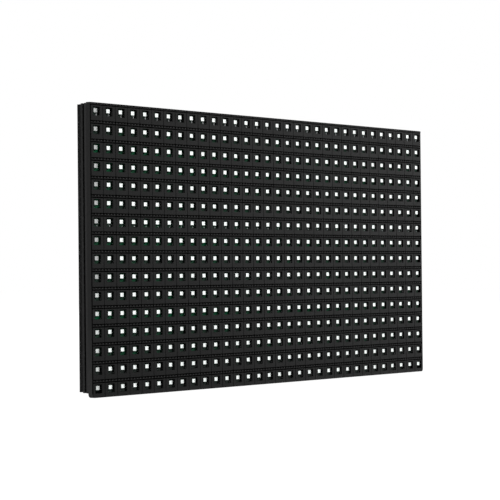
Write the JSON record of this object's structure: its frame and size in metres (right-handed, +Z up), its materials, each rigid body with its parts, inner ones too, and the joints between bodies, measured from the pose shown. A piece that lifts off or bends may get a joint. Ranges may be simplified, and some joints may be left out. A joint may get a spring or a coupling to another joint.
{
  "type": "led dot matrix display module",
  "caption": "Flat black LED dot matrix display module: windowed and shaded front mask, green circuit board, ribbed back frame with tapped inserts.",
  "frame": {"origin": "middle of the four corner tapped inserts, on the rear plane of the back frame", "axes": "+X along the width to the right as seen from the front, the LEDs face -Y, +Z up"},
  "size_m": [0.32, 0.0139, 0.1596],
  "materials": {
    "mask_plastic": "fine matt moulded texture",
    "frame_plastic": "smooth moulded",
    "solder_mask": "dark green lacquer over copper",
    "led_body": "white moulded, with a clear dished lens",
    "brass": "turned and knurled",
    "screw_steel": "bright zinc plate",
    "header_plastic": "moulded",
    "contact_gold": "gold flash",
    "power_plastic": "natural nylon",
    "blade_tin": "tinned",
    "chip_epoxy": "matt moulded epoxy with tinned leads",
    "can_aluminium": "drawn can on a black base"
  },
  "bodies": {
    "root": {"front_mask": "mask_plastic", "circuit_board": "solder_mask", "back_frame": "frame_plastic", "threaded_inserts": "brass", "frame_screws": "screw_steel", "led_row_01": "led_body", "led_row_02": "led_body", "led_row_03": "led_body", "led_row_04": "led_body", "led_row_05": "led_body", "led_row_06": "led_body", "led_row_07": "led_body", "led_row_08": "led_body", "led_row_09": "led_body", "led_row_10": "led_body", "led_row_11": "led_body", "led_row_12": "led_body", "led_row_13": "led_body", "led_row_14": "led_body", "led_row_15": "led_body", "led_row_16": "led_body", "signal_in_shell": "header_plastic", "signal_in_pins": "contact_gold", "signal_out_shell": "header_plastic", "signal_out_pins": "contact_gold", "power_shell": "power_plastic", "power_blades": "blade_tin", "driver_chip_01": "chip_epoxy", "driver_chip_02": "chip_epoxy", "driver_chip_03": "chip_epoxy", "driver_chip_04": "chip_epoxy", "driver_chip_05": "chip_epoxy", "driver_chip_06": "chip_epoxy", "driver_chip_07": "chip_epoxy", "driver_chip_08": "chip_epoxy", "driver_chip_09": "chip_epoxy", "driver_chip_10": "chip_epoxy", "driver_chip_11": "chip_epoxy", "driver_chip_12": "chip_epoxy", "row_switch_01": "chip_epoxy", "row_switch_02": "chip_epoxy", "row_switch_03": "chip_epoxy", "row_switch_04": "chip_epoxy", "row_switch_05": "chip_epoxy", "row_switch_06": "chip_epoxy", "row_switch_07": "chip_epoxy", "row_switch_08": "chip_epoxy", "buffer_chip_1": "chip_epoxy", "buffer_chip_2": "chip_epoxy", "decoder_chip": "chip_epoxy", "capacitor_1": "can_aluminium", "capacitor_2": "can_aluminium", "capacitor_3": "can_aluminium", "capacitor_4": "can_aluminium"}
  },
  "joints": []
}
